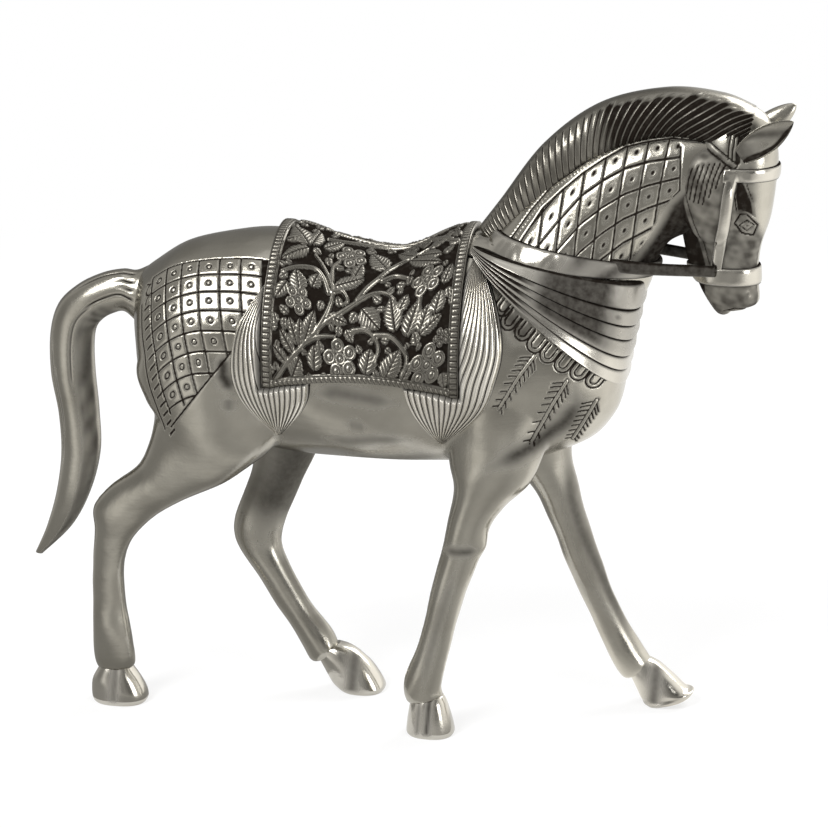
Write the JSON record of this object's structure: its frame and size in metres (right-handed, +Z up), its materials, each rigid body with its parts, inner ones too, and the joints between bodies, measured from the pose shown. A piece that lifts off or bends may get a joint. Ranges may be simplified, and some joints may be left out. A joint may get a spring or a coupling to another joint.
{
  "type": "horse statue",
  "caption": "Cast aluminium horse in a walking stance, with a saddle cloth, ribbed skirts, a pleated breast drape, a cropped mane and a bridle, to stand as an ornament.",
  "frame": {"origin": "centre of the bounding box at the ground, under the four soles", "axes": "+X towards the nose, +Y towards the horse's left side, +Z up"},
  "size_m": [0.308, 0.0862, 0.262],
  "materials": {
    "cast_metal": "antique silver, softly polished",
    "bright_metal": "antique silver, polished on the high places",
    "aged_metal": "antique silver with dark oxide in the recesses"
  },
  "bodies": {
    "root": {"body_half_right": "cast_metal", "body_half_left": "cast_metal", "neck": "cast_metal", "head": "cast_metal", "mane_crest": "aged_metal", "ear_right": "cast_metal", "ear_left": "cast_metal", "tail": "cast_metal", "fore_shank_right": "cast_metal", "fore_shank_left": "cast_metal", "hind_shank_right": "cast_metal", "hind_shank_left": "cast_metal", "fore_hoof_right": "bright_metal", "fore_hoof_left": "bright_metal", "hind_hoof_right": "bright_metal", "hind_hoof_left": "bright_metal", "saddle_cloth": "aged_metal", "rear_binding": "bright_metal", "front_binding": "bright_metal", "rear_skirt_right": "bright_metal", "rear_skirt_left": "bright_metal", "front_skirt_right": "bright_metal", "front_skirt_left": "bright_metal", "breast_drape": "bright_metal", "collar_band": "bright_metal", "rein_right": "bright_metal", "rein_left": "bright_metal", "noseband": "bright_metal", "browband": "bright_metal", "cheek_strap_right": "bright_metal", "cheek_strap_left": "bright_metal"}
  },
  "joints": []
}
